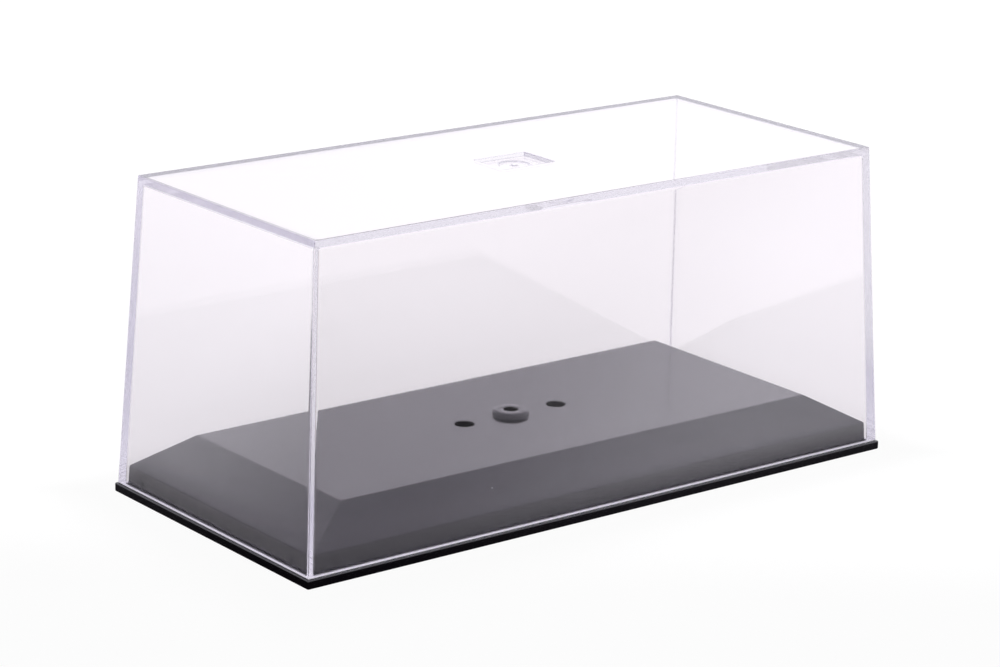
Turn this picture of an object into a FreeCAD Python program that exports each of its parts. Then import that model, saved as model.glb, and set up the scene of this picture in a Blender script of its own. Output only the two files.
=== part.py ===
import FreeCAD, Part
import math
import os

import Sketcher

# A two-piece display case: a clear drafted cover that stands on the rim of a hollow moulded base.
# Millimetres. The origin is the middle of the underside, X runs along the length, Z is up.

doc = FreeCAD.newDocument("display_case")
sheet = doc.addObject("Spreadsheet::Sheet", "sizes")

SIZES = {
    # base: the rim that the cover stands on
    "base_length": 140.0,
    "base_width": 64.7,
    "rim_height": 1.7,
    "rim_corner": 0.4,
    "rim_round": 0.3,
    "ledge_margin": 0.45,
    # cover: a thin drafted shell, thicker at the foot than at the top
    "cover_height": 60.5,
    "draft": 3.0,
    "wall_foot": 1.6,
    "wall_crown": 1.3,
    "top_thickness": 1.6,
    "cover_corner": 0.2,
    "cover_inner_corner": 0.6,
    "crown_round": 0.15,
    "crown_inner_round": 0.5,
    # gate recess in the top of the cover
    "recess_length": 12.4,
    "recess_width": 9.4,
    "recess_depth": 0.75,
    "recess_corner": 0.4,
    "dimple_diameter": 6.8,
    "dimple_depth": 0.2,
    "vestige_diameter": 1.8,
    "vestige_height": 0.3,
    # base: the plinth inside the cover
    "seat_gap": 0.4,
    "plinth_wall_height": 3.8,
    "plateau_length": 113.4,
    "plateau_width": 45.4,
    "plateau_height": 11.4,
    "edge_round": 0.3,
    "shell": 2.0,
    # nubs on the end walls that keep the cover from rattling
    "nub_inset": 5.0,
    "nub_width": 0.9,
    "nub_height": 1.8,
    "nub_clearance": 0.12,
    # boss and holes for the screws of a model
    "hole_spacing": 22.7,
    "hole_diameter": 3.9,
    "boss_diameter": 7.3,
    "boss_height": 1.0,
    "boss_round": 0.8,
    "boss_bore": 2.9,
    # underside: collars round the holes and stiffening ribs
    "collar_wall": 1.8,
    "collar_depth": 2.6,
    "rib_root": 1.3,
    "rib_tip": 1.0,
    "rib_depth": 2.2,
    "rib_pitch": 22.0,
    "root_bite": 0.3,
}

for row, (name, value) in enumerate(SIZES.items(), 1):
    sheet.set(f"A{row}", name)
    sheet.set(f"B{row}", str(value))
    sheet.setAlias(f"B{row}", name)
doc.recompute()

NEAR = 1e-4


def expr(text):
    """An expression in which each size in angle brackets is that cell of the sheet."""
    for name in sorted(SIZES, key=len, reverse=True):
        text = text.replace(f"<{name}>", f"sizes.{name}")
    return f"({text})"


def number(expression):
    """What an expression comes to now, for drawing a sketch near its solved place."""
    return float(sheet.evalExpression(expression))


# Shared derived sizes, each written once as an expression on the sheet
RIM_Z = expr("<rim_height>")
COVER_FOOT_L = expr("<base_length> - 2 * <ledge_margin>")
COVER_FOOT_W = expr("<base_width> - 2 * <ledge_margin>")
COVER_LEAN = expr("<cover_height> * tan(<draft>)")
COVER_TOP_Z = expr("<rim_height> + <cover_height>")
CEILING_Z = expr("<rim_height> + <cover_height> - <top_thickness>")
CEILING_LEAN = expr("(<cover_height> - <top_thickness>) * tan(<draft>)")
PLINTH_L = expr("<base_length> - 2 * (<ledge_margin> + <wall_foot> + <seat_gap>)")
PLINTH_W = expr("<base_width> - 2 * (<ledge_margin> + <wall_foot> + <seat_gap>)")
WALL_LEAN = expr("<plinth_wall_height> * tan(<draft>)")
KNEE_Z = expr("<rim_height> + <plinth_wall_height>")
KNEE_L = f"({PLINTH_L} - 2 * {WALL_LEAN})"
KNEE_W = f"({PLINTH_W} - 2 * {WALL_LEAN})"
BEVEL_RISE = expr("<plateau_height> - <rim_height> - <plinth_wall_height>")
END_ANGLE = expr(f"atan({BEVEL_RISE} / (({KNEE_L} - <plateau_length>) / 2))")
SIDE_ANGLE = expr(f"atan({BEVEL_RISE} / (({KNEE_W} - <plateau_width>) / 2))")
PLATEAU_Z = expr("<plateau_height>")
UNDER_Z = expr("<plateau_height> - <shell>")


def plane(body, role):
    return next(feature for feature in body.Origin.OriginFeatures if feature.Role == role)


def new_sketch(body, name, level, role="XY_Plane"):
    """A sketch on one of the body's own planes, moved along the plane's normal to a level."""
    sketch = body.newObject("Sketcher::SketchObject", name)
    sketch.AttachmentSupport = [(plane(body, role), "")]
    sketch.MapMode = "FlatFace"
    sketch.setExpression("AttachmentOffset.Base.z", level)
    return sketch


def bind(sketch, kind, where, name, expression):
    """A dimension in a sketch that takes its value from the sheet."""
    index = sketch.addConstraint(Sketcher.Constraint(kind, *where, number(expression)))
    sketch.renameConstraint(index, name)
    sketch.setExpression(f"Constraints.{name}", expression)


def round_rectangle(body, name, length, width, corner, level):
    """A centred rectangle with round corners."""
    sketch = new_sketch(body, name, level)
    radius = number(corner)
    x = number(length) / 2 - radius
    y = number(width) / 2 - radius
    centres = [(-x, -y), (x, -y), (x, y), (-x, y)]
    arcs = []
    sides = []
    for quarter, (cx, cy) in enumerate(centres):
        circle = Part.Circle(FreeCAD.Vector(cx, cy, 0), FreeCAD.Vector(0, 0, 1), radius)
        start = math.pi + quarter * math.pi / 2
        arcs.append(sketch.addGeometry(Part.ArcOfCircle(circle, start, start + math.pi / 2)))
    for quarter in range(4):
        begin = sketch.Geometry[arcs[quarter]].EndPoint
        end = sketch.Geometry[arcs[(quarter + 1) % 4]].StartPoint
        sides.append(sketch.addGeometry(Part.LineSegment(begin, end)))
    for quarter in range(4):
        sketch.addConstraint(Sketcher.Constraint("Tangent", arcs[quarter], 2, sides[quarter], 1))
        sketch.addConstraint(Sketcher.Constraint("Tangent", sides[quarter], 2, arcs[(quarter + 1) % 4], 1))
        direction = "Horizontal" if quarter % 2 == 0 else "Vertical"
        sketch.addConstraint(Sketcher.Constraint(direction, sides[quarter]))
    for quarter in range(1, 4):
        sketch.addConstraint(Sketcher.Constraint("Equal", arcs[0], arcs[quarter]))
    sketch.addConstraint(Sketcher.Constraint("Symmetric", arcs[0], 3, arcs[2], 3, -1, 1))
    bind(sketch, "Radius", (arcs[0],), "corner", corner)
    bind(sketch, "DistanceX", (arcs[0], 3, arcs[1], 3), "span_x", f"{length} - 2 * {corner}")
    bind(sketch, "DistanceY", (arcs[1], 3, arcs[2], 3), "span_y", f"{width} - 2 * {corner}")
    return sketch


def circles(body, name, diameter, places, level):
    """Circles of one diameter; each place is a pair of expressions for X and Y."""
    sketch = new_sketch(body, name, level)
    radius = number(diameter) / 2
    for index, (x, y) in enumerate(places):
        middle = FreeCAD.Vector(number(x), number(y), 0)
        circle = sketch.addGeometry(Part.Circle(middle, FreeCAD.Vector(0, 0, 1), radius))
        bind(sketch, "DistanceX", (-1, 1, circle, 3), f"x{index}", x)
        bind(sketch, "DistanceY", (-1, 1, circle, 3), f"y{index}", y)
        bind(sketch, "Diameter", (circle,), f"across{index}", diameter)
    return sketch


def tapered_block(body, kind, name, foot, top, shift="0"):
    """A block with sloping sides, shifted along X; foot and top each give length, width and level."""
    block = body.newObject(f"PartDesign::{kind}Wedge", name)
    block.AttachmentSupport = [(plane(body, "XZ_Plane"), "")]
    block.MapMode = "FlatFace"
    block.setExpression("AttachmentOffset.Base.x", shift)
    for prefix, (length, width, _) in {"": foot, "2": top}.items():
        block.setExpression(f"X{prefix}min", f"-{length} / 2")
        block.setExpression(f"X{prefix}max", f"{length} / 2")
        block.setExpression(f"Z{prefix}min", f"-{width} / 2")
        block.setExpression(f"Z{prefix}max", f"{width} / 2")
    block.setExpression("Ymin", foot[2])
    block.setExpression("Ymax", top[2])
    doc.recompute()
    return block


def pad(body, name, sketch, length):
    feature = body.newObject("PartDesign::Pad", name)
    feature.Profile = sketch
    feature.setExpression("Length", length)
    doc.recompute()
    return feature


def pocket(body, name, sketch, length=None):
    """Cuts downwards from the sketch, right through where no length is given."""
    feature = body.newObject("PartDesign::Pocket", name)
    feature.Profile = sketch
    if length is None:
        feature.Type = "ThroughAll"
    else:
        feature.setExpression("Length", length)
    doc.recompute()
    return feature


def edges_between(shape, low, high):
    """Names of the edges that run from one level to another, or lie flat where the two are the same."""
    names = []
    for index, edge in enumerate(shape.Edges, 1):
        box = edge.BoundBox
        if abs(box.ZMin - number(low)) < NEAR and abs(box.ZMax - number(high)) < NEAR:
            names.append(f"Edge{index}")
    return names


def fillet(body, name, feature, names, radius):
    rounded = body.newObject("PartDesign::Fillet", name)
    rounded.Base = (feature, names)
    rounded.setExpression("Radius", radius)
    doc.recompute()
    return rounded


# The cover
cover = doc.addObject("PartDesign::Body", "cover")
cover.Label = "cover"

cover_foot = (COVER_FOOT_L, COVER_FOOT_W, RIM_Z)
cover_crown = (f"({COVER_FOOT_L} - 2 * {COVER_LEAN})", f"({COVER_FOOT_W} - 2 * {COVER_LEAN})", COVER_TOP_Z)
block = tapered_block(cover, "Additive", "cover_block", cover_foot, cover_crown)
uprights = edges_between(block.Shape, RIM_Z, COVER_TOP_Z)
block = fillet(cover, "upright_round", block, uprights, expr("<cover_corner>"))
crown = edges_between(block.Shape, COVER_TOP_Z, COVER_TOP_Z)
fillet(cover, "crown_round", block, crown, expr("<crown_round>"))

room_foot = (expr(f"{COVER_FOOT_L} - 2 * <wall_foot>"), expr(f"{COVER_FOOT_W} - 2 * <wall_foot>"), RIM_Z)
room_ceiling = (expr(f"{COVER_FOOT_L} - 2 * {CEILING_LEAN} - 2 * <wall_crown>"),
                expr(f"{COVER_FOOT_W} - 2 * {CEILING_LEAN} - 2 * <wall_crown>"), CEILING_Z)
room = tapered_block(cover, "Subtractive", "room", room_foot, room_ceiling)
inner_uprights = edges_between(room.Shape, RIM_Z, CEILING_Z)
room = fillet(cover, "inner_upright_round", room, inner_uprights, expr("<cover_inner_corner>"))
ceiling = edges_between(room.Shape, CEILING_Z, CEILING_Z)
fillet(cover, "ceiling_round", room, ceiling, expr("<crown_inner_round>"))

RECESS_Z = expr(f"{COVER_TOP_Z} - <recess_depth>")
DIMPLE_Z = expr(f"{RECESS_Z} - <dimple_depth>")
MIDDLE = [("0", "0")]
recess_outline = round_rectangle(cover, "recess_outline", expr("<recess_length>"), expr("<recess_width>"),
                                 expr("<recess_corner>"), COVER_TOP_Z)
pocket(cover, "recess", recess_outline, expr("<recess_depth>"))
dimple_ring = circles(cover, "dimple_ring", expr("<dimple_diameter>"), MIDDLE, RECESS_Z)
pocket(cover, "dimple", dimple_ring, expr("<dimple_depth>"))
vestige_ring = circles(cover, "vestige_ring", expr("<vestige_diameter>"), MIDDLE, DIMPLE_Z)
pad(cover, "vestige", vestige_ring, expr("<vestige_height>"))

# The base: rim, plinth wall and bevels
base = doc.addObject("PartDesign::Body", "base")
base.Label = "base"

rim_outline = round_rectangle(base, "rim_outline", expr("<base_length>"), expr("<base_width>"),
                              expr("<rim_corner>"), "0")
rim = pad(base, "rim", rim_outline, RIM_Z)
rim_edges = edges_between(rim.Shape, "0", "0") + edges_between(rim.Shape, RIM_Z, RIM_Z)
fillet(base, "rim_round", rim, rim_edges, expr("<rim_round>"))

plinth_knee = (KNEE_L, KNEE_W, KNEE_Z)
tapered_block(base, "Additive", "plinth_wall", (PLINTH_L, PLINTH_W, RIM_Z), plinth_knee)
plateau = (expr("<plateau_length>"), expr("<plateau_width>"), PLATEAU_Z)
bevels = tapered_block(base, "Additive", "bevels", plinth_knee, plateau)
breaks = edges_between(bevels.Shape, RIM_Z, KNEE_Z) + edges_between(bevels.Shape, KNEE_Z, KNEE_Z)
breaks += edges_between(bevels.Shape, KNEE_Z, PLATEAU_Z) + edges_between(bevels.Shape, PLATEAU_Z, PLATEAU_Z)
fillet(base, "edge_round", bevels, breaks, expr("<edge_round>"))

# The hollow underside keeps the shell's thickness square to each slope. Wall and slope meet at one
# level inside, taken from the gentler end slope.
INNER_KNEE_Z = expr(f"{KNEE_Z} - <shell> * (1 - sin({END_ANGLE})) / cos({END_ANGLE})")
INNER_KNEE_L = expr(f"{KNEE_L} - 2 * <shell>")
INNER_KNEE_W = expr(f"{KNEE_W} - 2 * <shell>")
UNDER_L = f"({INNER_KNEE_L} - 2 * ({UNDER_Z} - {INNER_KNEE_Z}) / tan({END_ANGLE}))"
UNDER_W = f"({INNER_KNEE_W} - 2 * ({UNDER_Z} - {INNER_KNEE_Z}) / tan({SIDE_ANGLE}))"

hollow_mouth = (expr(f"{PLINTH_L} - 2 * <shell>"), expr(f"{PLINTH_W} - 2 * <shell>"), "0")
hollow_knee = (INNER_KNEE_L, INNER_KNEE_W, INNER_KNEE_Z)
tapered_block(base, "Subtractive", "hollow", hollow_mouth, hollow_knee)
tapered_block(base, "Subtractive", "hollow_slopes", hollow_knee, (UNDER_L, UNDER_W, UNDER_Z))

# Ribs under the plateau: one along the middle and two across at each end. Their ends follow the
# slopes of the hollow, and every root bites a little into the shell so that it fuses.
RIB_Z = expr(f"{UNDER_Z} - <rib_depth>")
ROOT_Z = expr(f"{UNDER_Z} + <root_bite>")
LONG_TIP = expr(f"{UNDER_L} + 2 * <rib_depth> / tan({END_ANGLE}) + 2 * <root_bite>")
LONG_ROOT = expr(f"{UNDER_L} - 2 * <root_bite> / tan({END_ANGLE}) + 2 * <root_bite>")
CROSS_TIP = expr(f"{UNDER_W} + 2 * <rib_depth> / tan({SIDE_ANGLE}) + 2 * <root_bite>")
CROSS_ROOT = expr(f"{UNDER_W} - 2 * <root_bite> / tan({SIDE_ANGLE}) + 2 * <root_bite>")
tapered_block(base, "Additive", "long_rib", (LONG_TIP, expr("<rib_tip>"), RIB_Z),
              (LONG_ROOT, expr("<rib_root>"), ROOT_Z))
for index, step in enumerate((-2, -1, 1, 2), 1):
    tapered_block(base, "Additive", f"cross_rib_{index}", (expr("<rib_tip>"), CROSS_TIP, RIB_Z),
                  (expr("<rib_root>"), CROSS_ROOT, ROOT_Z), expr(f"{step} * <rib_pitch>"))

# Boss and screw holes in a row along the middle, each with a collar below
HOLE_X = expr("<hole_spacing> / 2")
SCREW_PLACES = [(f"-{HOLE_X}", "0"), (HOLE_X, "0")]
COLLAR = expr("<hole_diameter> + 2 * <collar_wall>")
COLLAR_Z = expr(f"{UNDER_Z} - <collar_depth>")
BOSS_Z = expr("<plateau_height> + <boss_height>")
collar_rings = circles(base, "collar_rings", COLLAR, SCREW_PLACES + MIDDLE, COLLAR_Z)
pad(base, "collars", collar_rings, expr("<collar_depth> + <root_bite>"))
boss_ring = circles(base, "boss_ring", expr("<boss_diameter>"), MIDDLE, PLATEAU_Z)
boss = pad(base, "boss", boss_ring, expr("<boss_height>"))
fillet(base, "boss_round", boss, edges_between(boss.Shape, BOSS_Z, BOSS_Z), expr("<boss_round>"))
pocket(base, "screw_holes", circles(base, "screw_rings", expr("<hole_diameter>"), SCREW_PLACES, PLATEAU_Z))
pocket(base, "boss_hole", circles(base, "bore_ring", expr("<boss_bore>"), MIDDLE, BOSS_Z))

# Half-round nubs on the end walls, near the corners. They stand straight while the cover's wall
# leans in, so the clearance is kept at their upper ends.
NUB_PROUD = expr("<seat_gap> - <nub_clearance> - <nub_height> * tan(<draft>)")
NUB_X = expr(f"{PLINTH_L} / 2 + {NUB_PROUD} - <nub_width> / 2")
NUB_Y = expr(f"{PLINTH_W} / 2 - <nub_inset>")
NUB_PLACES = [(NUB_X, NUB_Y), (NUB_X, f"-{NUB_Y}"), (f"-{NUB_X}", NUB_Y), (f"-{NUB_X}", f"-{NUB_Y}")]
nub_rings = circles(base, "nub_rings", expr("<nub_width>"), NUB_PLACES, RIM_Z)
pad(base, "nubs", nub_rings, expr("<nub_height>"))

# Nothing is written unless every feature is whole
doc.recompute()
for item in doc.Objects:
    if "Invalid" in item.State or "Error" in item.State:
        raise RuntimeError(f"{item.Name} did not build")
os.makedirs("parts", exist_ok=True)
for body in (cover, base):
    shape = body.Shape
    if shape.isNull() or not shape.isValid() or len(shape.Solids) != 1:
        raise RuntimeError(f"{body.Label} is not one valid solid")
    shape.exportStep(f"parts/{body.Label}.step")
    print(body.Label, round(shape.Volume), "cubic mm", shape.BoundBox)
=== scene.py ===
import math

import bmesh
import bpy
from mathutils import Matrix, Vector


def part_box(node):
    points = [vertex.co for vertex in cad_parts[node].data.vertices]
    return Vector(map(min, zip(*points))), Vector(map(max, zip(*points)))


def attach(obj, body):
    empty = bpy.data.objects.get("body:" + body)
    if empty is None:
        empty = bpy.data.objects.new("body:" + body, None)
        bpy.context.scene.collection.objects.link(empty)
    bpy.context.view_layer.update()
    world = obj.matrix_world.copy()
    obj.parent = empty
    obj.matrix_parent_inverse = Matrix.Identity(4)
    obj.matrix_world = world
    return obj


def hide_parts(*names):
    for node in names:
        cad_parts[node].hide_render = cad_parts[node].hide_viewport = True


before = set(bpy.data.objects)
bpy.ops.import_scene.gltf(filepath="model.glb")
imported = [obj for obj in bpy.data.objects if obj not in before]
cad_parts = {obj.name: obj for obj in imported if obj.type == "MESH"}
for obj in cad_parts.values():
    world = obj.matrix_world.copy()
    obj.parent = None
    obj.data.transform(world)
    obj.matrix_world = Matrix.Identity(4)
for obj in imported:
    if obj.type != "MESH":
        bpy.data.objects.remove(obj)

mm = 0.001
scene = bpy.context.scene
scene.view_settings.view_transform = "Standard"
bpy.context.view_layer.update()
print("frame loaded:", sorted(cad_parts))


# small helpers for node trees

def addNode(tree, kind, **settings):
    node = tree.nodes.new(kind)
    for name, value in settings.items():
        setattr(node, name, value)
    return node


def setInputs(node, **values):
    for name, value in values.items():
        node.inputs[name.replace("_", " ")].default_value = value
    return node


def mathNode(tree, operation, first, second):
    node = addNode(tree, "ShaderNodeMath", operation=operation)
    for socket, value in zip(node.inputs, (first, second)):
        if isinstance(value, bpy.types.NodeSocket):
            tree.links.new(value, socket)
        else:
            socket.default_value = value
    return node.outputs[0]


def addSockets(tree, side, *names):
    for name in names:
        tree.interface.new_socket(name, in_out=side, socket_type="NodeSocketFloat")


# shared surface effects

def makeMouldGrain():
    group = bpy.data.node_groups.new("mouldGrain", "ShaderNodeTree")
    addSockets(group, "INPUT", "Scale", "Waviness")
    addSockets(group, "OUTPUT", "Height", "Patchiness")
    entry = addNode(group, "NodeGroupInput")
    leave = addNode(group, "NodeGroupOutput")
    place = addNode(group, "ShaderNodeTexCoord")
    fine = setInputs(addNode(group, "ShaderNodeTexNoise"), Detail=3.0, Roughness=0.6)
    broad = setInputs(addNode(group, "ShaderNodeTexNoise"), Scale=45.0, Detail=2.0)
    group.links.new(place.outputs["Object"], fine.inputs["Vector"])
    group.links.new(place.outputs["Object"], broad.inputs["Vector"])
    group.links.new(entry.outputs["Scale"], fine.inputs["Scale"])
    swell = mathNode(group, "MULTIPLY", broad.outputs["Fac"], entry.outputs["Waviness"])
    group.links.new(mathNode(group, "ADD", fine.outputs["Fac"], swell), leave.inputs["Height"])
    group.links.new(broad.outputs["Fac"], leave.inputs["Patchiness"])
    return group


def makeDustSpecks():
    group = bpy.data.node_groups.new("dustSpecks", "ShaderNodeTree")
    addSockets(group, "INPUT", "Scale", "Size", "Share")
    addSockets(group, "OUTPUT", "Mask")
    entry = addNode(group, "NodeGroupInput")
    leave = addNode(group, "NodeGroupOutput")
    place = addNode(group, "ShaderNodeTexCoord")
    cells = setInputs(addNode(group, "ShaderNodeTexVoronoi"), Randomness=1.0)
    group.links.new(place.outputs["Object"], cells.inputs["Vector"])
    group.links.new(entry.outputs["Scale"], cells.inputs["Scale"])
    near = mathNode(group, "LESS_THAN", cells.outputs["Distance"], entry.outputs["Size"])
    pick = addNode(group, "ShaderNodeSeparateColor")
    group.links.new(cells.outputs["Color"], pick.inputs["Color"])
    chosen = mathNode(group, "LESS_THAN", pick.outputs["Red"], entry.outputs["Share"])
    group.links.new(mathNode(group, "MULTIPLY", near, chosen), leave.inputs["Mask"])
    return group


mouldGrain = makeMouldGrain()
dustSpecks = makeDustSpecks()


def placeGroup(tree, group, **values):
    node = addNode(tree, "ShaderNodeGroup", node_tree=group)
    return setInputs(node, **values)


def newMaterial(name):
    material = bpy.data.materials.new(name)
    material.use_nodes = True
    tree = material.node_tree
    return material, tree, tree.nodes["Principled BSDF"], tree.nodes["Material Output"]


def mixBetween(tree, mask, low, high):
    node = addNode(tree, "ShaderNodeMapRange")
    setInputs(node, To_Min=low, To_Max=high)
    tree.links.new(mask, node.inputs["Value"])
    return node.outputs["Result"]


def smoothStep(tree, value, low, high):
    node = addNode(tree, "ShaderNodeMapRange", interpolation_type="SMOOTHSTEP")
    setInputs(node, From_Min=low, From_Max=high)
    tree.links.new(value, node.inputs["Value"])
    return node.outputs["Result"]


def addBump(tree, shader, height, sizes):
    bump = setInputs(addNode(tree, "ShaderNodeBump"), **sizes)
    tree.links.new(height, bump.inputs["Height"])
    tree.links.new(bump.outputs["Normal"], shader.inputs["Normal"])


# black moulded styrene
blackLook = {
    "colour": (0.005, 0.0038, 0.0058, 1.0),
    "dustColour": (0.16, 0.155, 0.165, 1.0),
    "dust": {"Scale": 240.0, "Size": 0.045, "Share": 0.05},
    "grain": {"Scale": 5200.0, "Waviness": 0.15},
    "bump": {"Strength": 0.015, "Distance": 0.00001},
    "rough": (0.1, 0.18),
    "refraction": 1.55,
    "shine": 1.0,
    "shineTint": (0.93, 0.935, 1.0, 1.0),
}


def makeBlackStyrene():
    look = blackLook
    material, tree, shader, _ = newMaterial("blackStyrene")
    grain = placeGroup(tree, mouldGrain, **look["grain"])
    specks = placeGroup(tree, dustSpecks, **look["dust"])
    tint = addNode(tree, "ShaderNodeMix", data_type="RGBA")
    tint.inputs["A"].default_value = look["colour"]
    tint.inputs["B"].default_value = look["dustColour"]
    tree.links.new(specks.outputs["Mask"], tint.inputs["Factor"])
    tree.links.new(tint.outputs["Result"], shader.inputs["Base Color"])
    rough = mixBetween(tree, grain.outputs["Patchiness"], *look["rough"])
    tree.links.new(rough, shader.inputs["Roughness"])
    addBump(tree, shader, grain.outputs["Height"], look["bump"])
    setInputs(shader, IOR=look["refraction"])
    setInputs(shader, Specular_IOR_Level=look["shine"], Specular_Tint=look["shineTint"])
    return material


# clear moulded styrene
clearLook = {
    "tone": (0.985, 0.962, 0.986, 1.0),
    "edgeTone": (0.58, 0.555, 0.67, 1.0),
    "edgeDepth": 7.5,
    "shadowTone": (0.955, 0.945, 0.96, 1.0),
    "dust": {"Scale": 150.0, "Size": 0.03, "Share": 0.03},
    "dustHaze": 0.35,
    "grain": {"Scale": 160.0, "Waviness": 2.0},
    "bump": {"Strength": 0.1, "Distance": 0.00002},
    "rough": (0.0, 0.05),
    "ledHaze": 0.11,
    "ledAfter": 2.5,
    "refraction": 1.59,
}


def makeClearStyrene():
    look = clearLook
    material, tree, shader, leave = newMaterial("clearStyrene")
    grain = placeGroup(tree, mouldGrain, **look["grain"])
    specks = placeGroup(tree, dustSpecks, **look["dust"])
    haze = mixBetween(tree, grain.outputs["Patchiness"], *look["rough"])
    speckHaze = mathNode(tree, "MULTIPLY", specks.outputs["Mask"], look["dustHaze"])
    # light led along inside a wall is spread a little at each turn
    path = addNode(tree, "ShaderNodeLightPath")
    led = mathNode(tree, "GREATER_THAN", path.outputs["Glossy Depth"], look["ledAfter"])
    ledHaze = mathNode(tree, "MULTIPLY", led, look["ledHaze"])
    rough = mathNode(tree, "ADD", mathNode(tree, "ADD", haze, speckHaze), ledHaze)
    tree.links.new(rough, shader.inputs["Roughness"])
    addBump(tree, shader, grain.outputs["Height"], look["bump"])
    setInputs(shader, Base_Color=look["tone"], IOR=look["refraction"])
    setInputs(shader, Transmission_Weight=1.0, Metallic=0.0)
    # direct and bounced light pass straight through, so the base inside is lit,
    # but bounced light that starts inside a wall, at its foot, is led along the wall
    side = addNode(tree, "ShaderNodeNewGeometry")
    outside = mathNode(tree, "SUBTRACT", 1.0, side.outputs["Backfacing"])
    entered = mathNode(tree, "GREATER_THAN", path.outputs["Transparent Depth"], 0.5)
    crossing = mathNode(tree, "MAXIMUM", outside, entered)
    bounced = mathNode(tree, "MULTIPLY", path.outputs["Is Diffuse Ray"], crossing)
    through = addNode(tree, "ShaderNodeBsdfTransparent")
    through.inputs["Color"].default_value = look["shadowTone"]
    mix = addNode(tree, "ShaderNodeMixShader")
    lit = mathNode(tree, "MAXIMUM", path.outputs["Is Shadow Ray"], bounced)
    tree.links.new(lit, mix.inputs["Fac"])
    tree.links.new(shader.outputs["BSDF"], mix.inputs[1])
    tree.links.new(through.outputs["BSDF"], mix.inputs[2])
    tree.links.new(mix.outputs["Shader"], leave.inputs["Surface"])
    tinted = addNode(tree, "ShaderNodeVolumeAbsorption")
    tinted.inputs["Color"].default_value = look["edgeTone"]
    tinted.inputs["Density"].default_value = look["edgeDepth"]
    tree.links.new(tinted.outputs["Volume"], leave.inputs["Volume"])
    return material


# matt foot of the cover, where light that runs down the walls comes out
footLook = {
    "colour": (0.98, 0.98, 0.99, 1.0),
    "worn": (0.93, 0.93, 0.95, 1.0),
    "steepShare": 0.36,
    "steepSpan": (0.18, 0.42),
    "grain": {"Scale": 700.0, "Waviness": 0.6},
    "bump": {"Strength": 0.2, "Distance": 0.00001},
    "rough": (0.45, 0.6),
}


def makeMattFoot():
    look = footLook
    material, tree, shader, leave = newMaterial("mattFoot")
    grain = placeGroup(tree, mouldGrain, **look["grain"])
    tint = addNode(tree, "ShaderNodeMix", data_type="RGBA")
    tint.inputs["A"].default_value = look["worn"]
    tint.inputs["B"].default_value = look["colour"]
    tree.links.new(grain.outputs["Patchiness"], tint.inputs["Factor"])
    tree.links.new(tint.outputs["Result"], shader.inputs["Base Color"])
    rough = mixBetween(tree, grain.outputs["Patchiness"], *look["rough"])
    tree.links.new(rough, shader.inputs["Roughness"])
    addBump(tree, shader, grain.outputs["Height"], look["bump"])
    setInputs(shader, Specular_IOR_Level=0.0)
    # light that comes down steeply goes out through the foot, flat light is thrown back
    angle = setInputs(addNode(tree, "ShaderNodeLayerWeight"), Blend=0.5)
    flat = smoothStep(tree, angle.outputs["Facing"], *look["steepSpan"])
    mix = addNode(tree, "ShaderNodeMixShader")
    tree.links.new(mixBetween(tree, flat, look["steepShare"], 1.0), mix.inputs["Fac"])
    tree.links.new(addNode(tree, "ShaderNodeBsdfTransparent").outputs["BSDF"], mix.inputs[1])
    tree.links.new(shader.outputs["BSDF"], mix.inputs[2])
    tree.links.new(mix.outputs["Shader"], leave.inputs["Surface"])
    return material


blackStyrene = makeBlackStyrene()
clearStyrene = makeClearStyrene()
mattFoot = makeMattFoot()
print("materials made")


# meshes drawn as stacked loops
sharpAngle = math.radians(40)


def roundLoop(halfLength, halfWidth, level, corner, steps):
    points = []
    for quarter, (signX, signY) in enumerate(((1, 1), (-1, 1), (-1, -1), (1, -1))):
        for step in range(steps + 1):
            turn = (quarter + step / steps) * math.pi / 2
            x = signX * (halfLength - corner) + corner * math.cos(turn)
            y = signY * (halfWidth - corner) + corner * math.sin(turn)
            points.append(Vector((x, y, level)) * mm)
    return points


# a profile is a run of (half length, half width, level, corner radius, rounding)
def softened(profile, steps):
    rows = [(Vector(row[:4]), row[4]) for row in profile]
    path = []
    for index, (here, rounding) in enumerate(rows):
        if rounding == 0 or index in (0, len(rows) - 1):
            path.append(here)
            continue
        before = rows[index - 1][0] - here
        after = rows[index + 1][0] - here
        start = here + before * (rounding / before.to_3d().length)
        end = here + after * (rounding / after.to_3d().length)
        for step in range(steps + 1):
            t = step / steps
            path.append(start * (1 - t) ** 2 + here * (2 * t * (1 - t)) + end * t ** 2)
    return path


def skinLoops(bm, loops):
    rows = [[bm.verts.new(point) for point in loop] for loop in loops]
    count = len(rows[0])
    for low, high in zip(rows, rows[1:]):
        for i in range(count):
            j = (i + 1) % count
            bm.faces.new((low[i], low[j], high[j], high[i]))
    return rows[0], rows[-1]


def loopEdges(bm, ring):
    pairs = zip(ring, ring[1:] + ring[:1])
    return [bm.edges.get(pair) for pair in pairs if bm.edges.get(pair)]


def finishMesh(bm, name, *materials):
    bmesh.ops.remove_doubles(bm, verts=bm.verts, dist=0.0001 * mm)
    bmesh.ops.dissolve_degenerate(bm, edges=bm.edges, dist=0.00001 * mm)
    bmesh.ops.recalc_face_normals(bm, faces=bm.faces)
    mesh = bpy.data.meshes.new(name)
    bm.to_mesh(mesh)
    bm.free()
    for material in materials:
        mesh.materials.append(material)
    mesh.shade_smooth()
    mesh.set_sharp_from_angle(angle=sharpAngle)
    piece = bpy.data.objects.new(name, mesh)
    scene.collection.objects.link(piece)
    level = piece.modifiers.new("flatFaces", "WEIGHTED_NORMAL")
    level.keep_sharp = True
    level.weight = 100
    return piece


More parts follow.
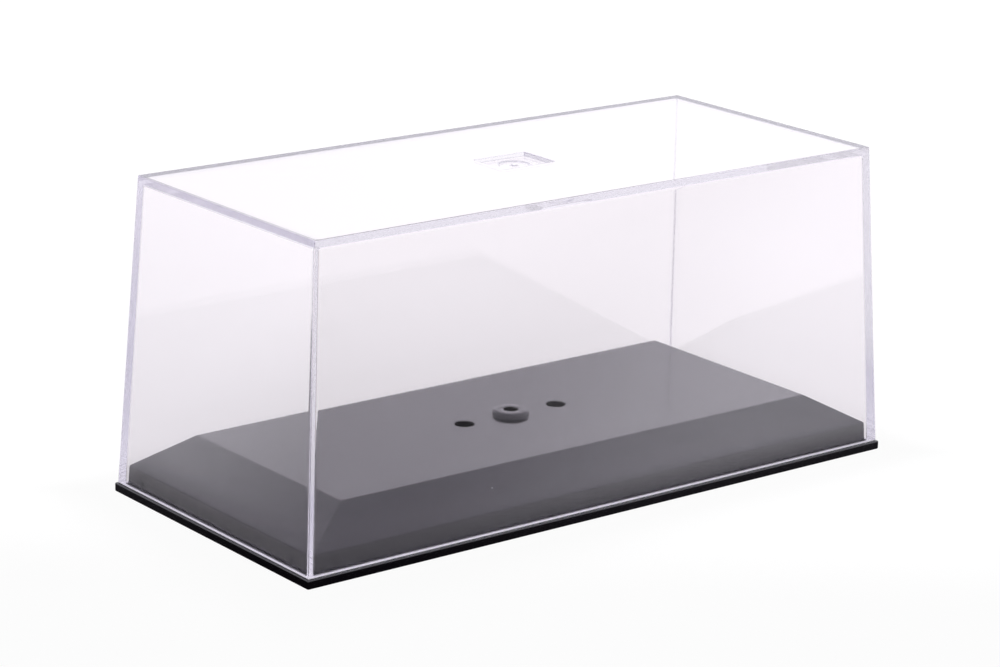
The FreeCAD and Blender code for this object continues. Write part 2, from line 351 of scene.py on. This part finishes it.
# clear cover
coverBox = [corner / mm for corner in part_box("cover")]
coverSizes = {
    "footHalf": (coverBox[1].x, coverBox[1].y),
    "footLevel": coverBox[0].z,
    "topLevel": coverBox[1].z,
    "draft": math.radians(3.0),
    "wallFoot": 1.6,
    "wallCrown": 1.3,
    "topThick": 1.6,
    "corner": 0.2,
    "innerCorner": 0.4,
    "crownRound": 0.18,
    "ceilingRound": 0.6,
    "footRound": 0.15,
    "footGap": 0.04,
    "recessHalf": (6.2, 4.7),
    "recessDeep": 0.75,
    "recessCorner": 0.4,
    "recessRound": 0.3,
    "dimpleRadius": 3.4,
    "dimpleDeep": 0.2,
    "dimpleSlope": 0.5,
    "vestigeRadius": 0.9,
    "vestigeHigh": 0.25,
    "vestigeShoulder": 0.54,
    "vestigeTip": 0.18,
    "gateRound": 0.2,
    "ceilingDisc": 2.0,
    "mattHigh": 0.2,
}


def makeCover():
    s = coverSizes
    footX, footY = s["footHalf"]
    top, foot = s["topLevel"], s["footLevel"] + s["footGap"]
    ceiling = top - s["topThick"]
    lean = (top - foot) * math.tan(s["draft"])
    innerLean = (ceiling - foot) * math.tan(s["draft"]) + s["wallCrown"]
    recessX, recessY = s["recessHalf"]
    recess = top - s["recessDeep"]
    dimple = recess - s["dimpleDeep"]
    ring = s["dimpleRadius"]
    ringFoot = ring - s["dimpleSlope"]
    gate, shoulder, tip = s["vestigeRadius"], s["vestigeShoulder"], s["vestigeTip"]
    gateTop = dimple + s["vestigeHigh"]
    soft = s["gateRound"]
    disc = s["ceilingDisc"]
    profile = [
        (tip, tip, gateTop, tip, 0),
        (shoulder, shoulder, gateTop, shoulder, soft),
        (gate, gate, dimple, gate, soft),
        (ringFoot, ringFoot, dimple, ringFoot, soft),
        (ring, ring, recess, ring, soft),
        (recessX, recessY, recess, s["recessCorner"], s["recessRound"]),
        (recessX, recessY, top, s["recessCorner"], s["recessRound"]),
        (footX - lean, footY - lean, top, s["corner"], s["crownRound"]),
        (footX, footY, foot, s["corner"], s["footRound"]),
        (footX - s["wallFoot"], footY - s["wallFoot"], foot, s["innerCorner"], s["footRound"]),
        (footX - innerLean, footY - innerLean, ceiling, s["innerCorner"], s["ceilingRound"]),
        (disc, disc, ceiling, disc, 0),
    ]
    bm = bmesh.new()
    loops = [roundLoop(*row, steps=8) for row in softened(profile, 6)]
    first, last = skinLoops(bm, loops)
    bm.faces.new(first)
    bm.faces.new(reversed(last))
    # the foot and its rounded edges take the matt finish
    for face in bm.faces:
        if max(vert.co.z for vert in face.verts) < (foot + s["mattHigh"]) * mm:
            face.material_index = 1
    return finishMesh(bm, "clearCover", clearStyrene, mattFoot)


clearCover = makeCover()
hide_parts("cover")
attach(clearCover, "cover")
print("cover made")


# black base
baseBox = [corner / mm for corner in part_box("base")]
seatGap = 0.4
plinthInset = coverSizes["wallFoot"] + seatGap
baseSizes = {
    "rimHalf": (baseBox[1].x, baseBox[1].y),
    "rimHigh": coverBox[0].z,
    "rimCorner": 0.3,
    "rimRound": 0.3,
    "plinthHalf": (coverBox[1].x - plinthInset, coverBox[1].y - plinthInset),
    "wallHigh": 3.8,
    "draft": math.radians(3.0),
    "plateauHalf": (56.7, 22.7),
    "plateauLevel": 11.4,
    "edgeRound": 0.35,
    "corner": 0.2,
    "shell": 2.0,
    "innerKnee": 4.32,
    "underHalf": (56.18, 21.67),
    "holeX": 11.35,
    "holeRadius": 1.95,
    "bossRadius": 3.65,
    "bossRound": 0.85,
    "bossBore": 1.45,
    "collarRadius": 3.75,
    "collarDeep": 2.6,
    "flatInset": 2.0,
    "footRound": 0.15,
    "mouthRound": 0.25,
    "hollowRound": 0.5,
    "boreRound": 0.12,
    "boreFootRound": 0.2,
    "collarRound": 0.3,
    "collarRun": 0.8,
    "holeRun": 0.6,
    "bossRun": 0.9,
    "bossFootRound": 0.3,
}


def turned(bm, centreX, profile, steps=14):
    loops = []
    for radius, _, level, _ in softened([(r, r, z, r, soft) for r, z, soft in profile], 5):
        ring = []
        for i in range(4 * steps):
            turn = i / (4 * steps) * 2 * math.pi
            ring.append(Vector((centreX + radius * math.cos(turn), radius * math.sin(turn), level)) * mm)
        loops.append(ring)
    return skinLoops(bm, loops)


def fillFlat(bm, outer, inners, up):
    edges = loopEdges(bm, outer)
    for ring in inners:
        edges += loopEdges(bm, ring)
    bmesh.ops.triangle_fill(bm, use_beauty=True, use_dissolve=False, edges=edges, normal=(0, 0, up))


def makeBase():
    s = baseSizes
    rimX, rimY = s["rimHalf"]
    footX, footY = s["plinthHalf"]
    rim = s["rimHigh"]
    knee = rim + s["wallHigh"]
    lean = s["wallHigh"] * math.tan(s["draft"])
    topX, topY = s["plateauHalf"]
    top = s["plateauLevel"]
    under = top - s["shell"]
    underX, underY = s["underHalf"]
    innerX, innerY = footX - s["shell"], footY - s["shell"]
    inset = s["flatInset"]
    hollow = s["hollowRound"]
    profile = [
        (topX - inset, topY - inset, top, s["corner"], 0),
        (topX, topY, top, s["corner"], s["edgeRound"]),
        (footX - lean, footY - lean, knee, s["corner"], s["edgeRound"]),
        (footX, footY, rim, s["corner"], s["footRound"]),
        (rimX, rimY, rim, s["rimCorner"], s["rimRound"]),
        (rimX, rimY, 0.0, s["rimCorner"], s["rimRound"]),
        (innerX, innerY, 0.0, s["corner"], s["mouthRound"]),
        (innerX - lean, innerY - lean, s["innerKnee"], s["corner"], hollow),
        (underX, underY, under, s["corner"], hollow),
        (underX - inset, underY - inset, under, s["corner"], 0),
    ]
    bm = bmesh.new()
    loops = [roundLoop(*row, steps=6) for row in softened(profile, 5)]
    plateauRing, underRing = skinLoops(bm, loops)
    collar = s["collarRadius"]
    collarLevel = under - s["collarDeep"]
    collarEnd = [
        (collar, collarLevel, s["collarRound"]),
        (collar, under, s["collarRound"]),
        (collar + s["collarRun"], under, 0),
    ]
    upper = []
    lower = []
    for x in (-s["holeX"], s["holeX"]):
        hole = s["holeRadius"]
        ends = turned(bm, x, [
            (hole + s["holeRun"], top, 0),
            (hole, top, s["boreRound"]),
            (hole, collarLevel, s["boreFootRound"]),
        ] + collarEnd)
        upper.append(ends[0])
        lower.append(ends[1])
    boss = s["bossRadius"]
    bore = s["bossBore"]
    bossTop = baseBox[1].z
    ends = turned(bm, 0.0, [
        (boss + s["bossRun"], top, 0),
        (boss, top, s["bossFootRound"]),
        (boss, bossTop, s["bossRound"]),
        (bore, bossTop, s["boreRound"]),
        (bore, collarLevel, s["boreFootRound"]),
    ] + collarEnd)
    upper.append(ends[0])
    lower.append(ends[1])
    fillFlat(bm, plateauRing, upper, 1)
    fillFlat(bm, underRing, lower, -1)
    return finishMesh(bm, "blackBase", blackStyrene)


blackBase = makeBase()
print("base made")


# small helpers for Geometry Nodes

def newNodeShape(name, inputs):
    tree = bpy.data.node_groups.new(name, "GeometryNodeTree")
    addSockets(tree, "INPUT", *inputs)
    tree.interface.new_socket("Geometry", in_out="OUTPUT", socket_type="NodeSocketGeometry")
    return tree, addNode(tree, "NodeGroupInput"), addNode(tree, "NodeGroupOutput")


def vectorFrom(tree, *parts):
    node = addNode(tree, "ShaderNodeCombineXYZ")
    for socket, part in zip(node.inputs, parts):
        if isinstance(part, bpy.types.NodeSocket):
            tree.links.new(part, socket)
        else:
            socket.default_value = part
    return node.outputs["Vector"]


# pushes the picked faces along and brings their corners in or out
def drawOut(tree, mesh, faces, along, distance, spread):
    pull = addNode(tree, "GeometryNodeExtrudeMesh", mode="FACES")
    pull.inputs["Individual"].default_value = False
    tree.links.new(mesh, pull.inputs["Mesh"])
    tree.links.new(vectorFrom(tree, *along), pull.inputs["Offset"])
    tree.links.new(distance, pull.inputs["Offset Scale"])
    if faces:
        tree.links.new(faces, pull.inputs["Selection"])
    where = addNode(tree, "GeometryNodeInputPosition")
    scaled = addNode(tree, "ShaderNodeVectorMath", operation="MULTIPLY")
    tree.links.new(where.outputs["Position"], scaled.inputs[0])
    tree.links.new(spread, scaled.inputs[1])
    move = addNode(tree, "GeometryNodeSetPosition")
    tree.links.new(pull.outputs["Mesh"], move.inputs["Geometry"])
    tree.links.new(pull.outputs["Top"], move.inputs["Selection"])
    tree.links.new(scaled.outputs["Vector"], move.inputs["Position"])
    return move.outputs["Geometry"], pull.outputs["Top"]


# puts the face back that an extrusion leaves open
def closeFoot(tree, body, foot):
    flipped = addNode(tree, "GeometryNodeFlipFaces")
    tree.links.new(foot, flipped.inputs["Mesh"])
    joined = addNode(tree, "GeometryNodeJoinGeometry")
    tree.links.new(flipped.outputs["Mesh"], joined.inputs["Geometry"])
    tree.links.new(body, joined.inputs["Geometry"])
    merged = setInputs(addNode(tree, "GeometryNodeMergeByDistance"), Distance=1e-6)
    tree.links.new(joined.outputs["Geometry"], merged.inputs["Geometry"])
    return merged.outputs["Geometry"]


def placeOn(tree, points, shape, pick=None, turn=None):
    node = addNode(tree, "GeometryNodeInstanceOnPoints")
    tree.links.new(points, node.inputs["Points"])
    tree.links.new(shape, node.inputs["Instance"])
    if pick:
        tree.links.new(pick, node.inputs["Selection"])
    if turn:
        tree.links.new(turn, node.inputs["Rotation"])
    return node.outputs["Instances"]


def endShape(tree, parts, lift, material, leave):
    joined = addNode(tree, "GeometryNodeJoinGeometry")
    for part in parts:
        tree.links.new(part, joined.inputs["Geometry"])
    raised = addNode(tree, "GeometryNodeTransform")
    tree.links.new(joined.outputs["Geometry"], raised.inputs["Geometry"])
    tree.links.new(vectorFrom(tree, 0.0, 0.0, lift), raised.inputs["Translation"])
    real = addNode(tree, "GeometryNodeRealizeInstances")
    tree.links.new(raised.outputs["Geometry"], real.inputs["Geometry"])
    paint = addNode(tree, "GeometryNodeSetMaterial")
    paint.inputs["Material"].default_value = material
    tree.links.new(real.outputs["Geometry"], paint.inputs["Geometry"])
    tree.links.new(paint.outputs["Geometry"], leave.inputs["Geometry"])


def bakeShape(name, tree, sizes):
    piece = bpy.data.objects.new(name, bpy.data.meshes.new(name))
    scene.collection.objects.link(piece)
    maker = piece.modifiers.new(name, "NODES")
    maker.node_group = tree
    for item in tree.interface.items_tree:
        if item.in_out == "INPUT":
            maker[item.identifier] = sizes[item.name] * mm
    shaped = piece.evaluated_get(bpy.context.evaluated_depsgraph_get())
    mesh = bpy.data.meshes.new_from_object(shaped)
    piece.modifiers.remove(maker)
    piece.data = mesh
    mesh.name = name
    mesh.shade_smooth()
    mesh.set_sharp_from_angle(angle=sharpAngle)
    return piece


# four nubs on the end walls that centre the cover
nubTip = 0.6
nubSizes = {
    "Reach": 134.572,
    "Spread": 49.8,
    "Radius": 0.45,
    "Height": 1.5,
    "Chamfer": 0.3,
    "Level": 1.7,
}


def makeSeatNubs():
    tree, entry, leave = newNodeShape("seatNubs", nubSizes)
    size = entry.outputs
    spots = setInputs(addNode(tree, "GeometryNodeMeshGrid"), Vertices_X=2, Vertices_Y=2)
    tree.links.new(size["Reach"], spots.inputs["Size X"])
    tree.links.new(size["Spread"], spots.inputs["Size Y"])
    disc = setInputs(addNode(tree, "GeometryNodeMeshCircle", fill_type="NGON"), Vertices=24)
    tree.links.new(size["Radius"], disc.inputs["Radius"])
    up = (0.0, 0.0, 1.0)
    straight = vectorFrom(tree, 1.0, 1.0, 1.0)
    narrower = vectorFrom(tree, nubTip, nubTip, 1.0)
    post, top = drawOut(tree, disc.outputs["Mesh"], None, up, size["Height"], straight)
    tip, _ = drawOut(tree, post, top, up, size["Chamfer"], narrower)
    nub = closeFoot(tree, tip, disc.outputs["Mesh"])
    endShape(tree, [placeOn(tree, spots.outputs["Mesh"], nub)], size["Level"], blackStyrene, leave)
    return bakeShape("seatNubs", tree, nubSizes)


# stiffening ribs under the plateau, four across and one along that the collars break
ribEdge = 0.7
ribSizes = {
    "Pitch": 22.0,
    "Cross Length": 48.0,
    "Cross Reach": 48.9,
    "Long Length": 44.8,
    "Long Reach": 46.2,
    "Long Middle": 37.2,
    "Short Length": 4.6,
    "Short Middle": 5.7,
    "Root Width": 1.3,
    "Tip Width": 1.0,
    "Depth": 2.3,
    "Chamfer": 0.2,
    "Level": 9.7,
}


def makeUnderRibs():
    tree, entry, leave = newNodeShape("underRibs", ribSizes)
    size = entry.outputs
    down = (0.0, 0.0, -1.0)
    narrower = mathNode(tree, "DIVIDE", size["Tip Width"], size["Root Width"])

    def bar(length, reach):
        root = setInputs(addNode(tree, "GeometryNodeMeshGrid"), Vertices_X=2, Vertices_Y=2)
        tree.links.new(length, root.inputs["Size X"])
        tree.links.new(size["Root Width"], root.inputs["Size Y"])
        longer = mathNode(tree, "DIVIDE", reach, length)
        taper = vectorFrom(tree, longer, narrower, 1.0)
        web, low = drawOut(tree, root.outputs["Mesh"], None, down, size["Depth"], taper)
        edge, _ = drawOut(tree, web, low, down, size["Chamfer"], vectorFrom(tree, 1.0, ribEdge, 1.0))
        return closeFoot(tree, edge, root.outputs["Mesh"])

    def pair(middle):
        line = setInputs(addNode(tree, "GeometryNodeMeshLine", mode="END_POINTS"), Count=2)
        back = mathNode(tree, "MULTIPLY", middle, -1.0)
        tree.links.new(vectorFrom(tree, back, 0.0, 0.0), line.inputs["Start Location"])
        tree.links.new(vectorFrom(tree, middle, 0.0, 0.0), line.inputs["Offset"])
        return line.outputs["Mesh"]

    # five places across, the middle one left to the boss
    row = setInputs(addNode(tree, "GeometryNodeMeshLine", mode="OFFSET"), Count=5)
    first = mathNode(tree, "MULTIPLY", size["Pitch"], -2.0)
    tree.links.new(vectorFrom(tree, first, 0.0, 0.0), row.inputs["Start Location"])
    tree.links.new(vectorFrom(tree, size["Pitch"], 0.0, 0.0), row.inputs["Offset"])
    index = addNode(tree, "GeometryNodeInputIndex")
    besides = addNode(tree, "FunctionNodeCompare", data_type="INT", operation="NOT_EQUAL")
    tree.links.new(index.outputs["Index"], besides.inputs["A"])
    besides.inputs["B"].default_value = 2
    across = vectorFrom(tree, 0.0, 0.0, math.pi / 2)
    crossBar = bar(size["Cross Length"], size["Cross Reach"])
    crossBars = placeOn(tree, row.outputs["Mesh"], crossBar, besides.outputs["Result"], across)
    longBars = placeOn(tree, pair(size["Long Middle"]), bar(size["Long Length"], size["Long Reach"]))
    shortBars = placeOn(tree, pair(size["Short Middle"]), bar(size["Short Length"], size["Short Length"]))
    endShape(tree, [crossBars, longBars, shortBars], size["Level"], blackStyrene, leave)
    return bakeShape("underRibs", tree, ribSizes)


for piece in (blackBase, makeSeatNubs(), makeUnderRibs()):
    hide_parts("base")
    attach(piece, "base")
print("nubs and ribs made")


# floor, light and camera
stageLook = {
    "floorHalf": 6.0,
    "floorLevel": -0.00005,
    # the shades and spans below paint shade on the floor: darker towards the left front, a painted
    # contact shadow at the rim, and a painted shadow round the base and to the left where the floor is
    # seen through the cover
    "nearShade": 0.15,
    "farShade": 0.95,
    "shadeSide": (0.65, 0.76, 0.0),
    "shadeSpan": (-0.07, -0.005),
    "contactShade": 0.1,
    "contactSpan": (0.002, 0.024),
    "paintedShadowLevel": 0.9,
    "paintedShadowSpan": (0.0, 0.1),
    "sideShade": 0.89,
    "sideSpan": (-0.05, 0.08),
    "glow": 1.09,
    "glowThrough": 1.12,
    "glowShare": 0.88,
    "underReach": -0.002,
    "wallPasses": 2.5,
    "skyColour": (0.96, 0.95, 1.0, 1.0),
    "dim": 0.78,
    "bright": 1.03,
    "patch": 0.2,
    "patchSpan": (0.8, 1.0),
    "brightSide": (0.852, 0.397, 0.342),
    "brightSpan": (-0.2, 0.7),
}


# distance from the rim on the floor
def rimGap(tree, axes):
    gaps = []
    for axis, half in zip("XY", baseSizes["rimHalf"]):
        reach = mathNode(tree, "ABSOLUTE", axes[axis], 0.0)
        gaps.append(mathNode(tree, "SUBTRACT", reach, half * mm))
    return mathNode(tree, "MAXIMUM", *gaps)


# pale floor with painted shade, darker towards the left front, and a painted contact shadow close to the
# rim and under the base
def floorPaintedShade(tree, place, gap):
    along = addNode(tree, "ShaderNodeVectorMath", operation="DOT_PRODUCT")
    along.inputs[1].default_value = stageLook["shadeSide"]
    tree.links.new(place, along.inputs[0])
    across = smoothStep(tree, along.outputs["Value"], *stageLook["shadeSpan"])
    shade = mixBetween(tree, across, stageLook["nearShade"], stageLook["farShade"])
    away = smoothStep(tree, gap, *stageLook["contactSpan"])
    paintedContactShadow = mixBetween(tree, away, stageLook["contactShade"], 1.0)
    return mathNode(tree, "MULTIPLY", shade, paintedContactShadow)


def makeFloor():
    mesh = bpy.data.meshes.new("floor")
    half = stageLook["floorHalf"]
    height = stageLook["floorLevel"]
    corners = [(x * half, y * half, height) for x, y in ((-1, -1), (1, -1), (1, 1), (-1, 1))]
    mesh.from_pydata(corners, [], [(0, 1, 2, 3)])
    floor = bpy.data.objects.new("floor", mesh)
    scene.collection.objects.link(floor)
    material, tree, shader, leave = newMaterial("paleFloor")
    setInputs(shader, Roughness=0.9, Specular_IOR_Level=0.0)
    place = addNode(tree, "ShaderNodeTexCoord").outputs["Object"]
    split = addNode(tree, "ShaderNodeSeparateXYZ")
    tree.links.new(place, split.inputs["Vector"])
    gap = rimGap(tree, split.outputs)
    # the floor's colour carries the painted shade and the painted contact shadow
    tree.links.new(floorPaintedShade(tree, place, gap), shader.inputs["Base Color"])
    # seen straight on or through the cover the floor is near white and its shadow faint, though through
    # the cover it carries a painted shadow round the base that deepens to the left, in the single
    # reflections of the walls it shows its painted shade and painted contact shadow as it is lit
    path = addNode(tree, "ShaderNodeLightPath")
    onceTurned = mathNode(tree, "COMPARE", path.outputs["Glossy Depth"], 1.0)
    nearWall = mathNode(tree, "LESS_THAN", path.outputs["Transmission Depth"], stageLook["wallPasses"])
    mirrored = mathNode(tree, "MULTIPLY", onceTurned, nearWall)
    beyond = mathNode(tree, "SUBTRACT", path.outputs["Is Transmission Ray"], mirrored)
    seen = mathNode(tree, "MAXIMUM", path.outputs["Is Camera Ray"], beyond)
    besideRim = mathNode(tree, "GREATER_THAN", gap, stageLook["underReach"])
    seen = mathNode(tree, "MULTIPLY", seen, besideRim)
    share = mathNode(tree, "MULTIPLY", seen, stageLook["glowShare"])
    glow = addNode(tree, "ShaderNodeEmission")
    level = mixBetween(tree, path.outputs["Is Camera Ray"], stageLook["glowThrough"], stageLook["glow"])
    # painted shadow round the base, deeper towards the left, on the floor seen through the cover
    paintedShadow = mixBetween(tree, smoothStep(tree, gap, *stageLook["paintedShadowSpan"]), stageLook["paintedShadowLevel"], 1.0)
    aside = smoothStep(tree, split.outputs["X"], *stageLook["sideSpan"])
    paintedShadow = mathNode(tree, "MULTIPLY", paintedShadow, mixBetween(tree, aside, stageLook["sideShade"], 1.0))
    clear = mathNode(tree, "MAXIMUM", paintedShadow, path.outputs["Is Camera Ray"])
    tree.links.new(mathNode(tree, "MULTIPLY", level, clear), glow.inputs["Strength"])
    both = addNode(tree, "ShaderNodeMixShader")
    tree.links.new(share, both.inputs["Fac"])
    tree.links.new(shader.outputs["BSDF"], both.inputs[1])
    tree.links.new(glow.outputs["Emission"], both.inputs[2])
    # seen from below the floor is out of the way of the underside and its light
    side = addNode(tree, "ShaderNodeNewGeometry")
    passed = mathNode(tree, "GREATER_THAN", path.outputs["Transparent Depth"], 0.5)
    oneSided = addNode(tree, "ShaderNodeMixShader")
    tree.links.new(mathNode(tree, "MAXIMUM", side.outputs["Backfacing"], passed), oneSided.inputs["Fac"])
    tree.links.new(both.outputs["Shader"], oneSided.inputs[1])
    tree.links.new(addNode(tree, "ShaderNodeBsdfTransparent").outputs["BSDF"], oneSided.inputs[2])
    tree.links.new(oneSided.outputs["Shader"], leave.inputs["Surface"])
    mesh.materials.append(material)


def makeWorld():
    world = bpy.data.worlds.new("studio")
    scene.world = world
    world.use_nodes = True
    tree = world.node_tree
    tree.nodes.clear()
    leave = addNode(tree, "ShaderNodeOutputWorld")
    back = addNode(tree, "ShaderNodeBackground")
    back.inputs["Color"].default_value = stageLook["skyColour"]
    place = addNode(tree, "ShaderNodeTexCoord")
    side = addNode(tree, "ShaderNodeVectorMath", operation="DOT_PRODUCT")
    side.inputs[1].default_value = stageLook["brightSide"]
    tree.links.new(place.outputs["Generated"], side.inputs[0])
    shape = smoothStep(tree, side.outputs["Value"], *stageLook["brightSpan"])
    strength = mixBetween(tree, shape, stageLook["dim"], stageLook["bright"])
    patch = smoothStep(tree, side.outputs["Value"], *stageLook["patchSpan"])
    lift = mathNode(tree, "MULTIPLY", patch, stageLook["patch"])
    strength = mathNode(tree, "ADD", strength, lift)
    path = addNode(tree, "ShaderNodeLightPath")
    plain = mathNode(tree, "MAXIMUM", strength, path.outputs["Is Camera Ray"])
    tree.links.new(plain, back.inputs["Strength"])
    tree.links.new(back.outputs["Background"], leave.inputs["Surface"])


# the photograph's viewing angle
shot = {
    "place": (-0.37037, -0.46407, 0.20145),
    "yaw": -38.399,
    "pitch": 16.309,
    "roll": 1.298,
    "lens": 114.73,
    "sensor": 36.0,
    "clip": (0.01, 50.0),
}


def makeCamera():
    data = bpy.data.cameras.new("shot")
    data.sensor_width = shot["sensor"]
    data.lens = shot["lens"]
    data.clip_start, data.clip_end = shot["clip"]
    camera = bpy.data.objects.new("shot", data)
    turn = Matrix.Rotation(math.radians(shot["yaw"]), 4, "Z")
    tilt = Matrix.Rotation(math.radians(90 - shot["pitch"]), 4, "X")
    roll = Matrix.Rotation(math.radians(shot["roll"]), 4, "Z")
    camera.matrix_world = Matrix.Translation(shot["place"]) @ turn @ tilt @ roll
    scene.collection.objects.link(camera)
    scene.camera = camera


makeFloor()
makeWorld()
makeCamera()
# light runs far along inside the thin walls before it comes out
scene.cycles.blur_glossy = 0.0
scene.cycles.max_bounces = 160
scene.cycles.transmission_bounces = 64
scene.cycles.glossy_bounces = 160
scene.cycles.transparent_max_bounces = 32
print("stage made")
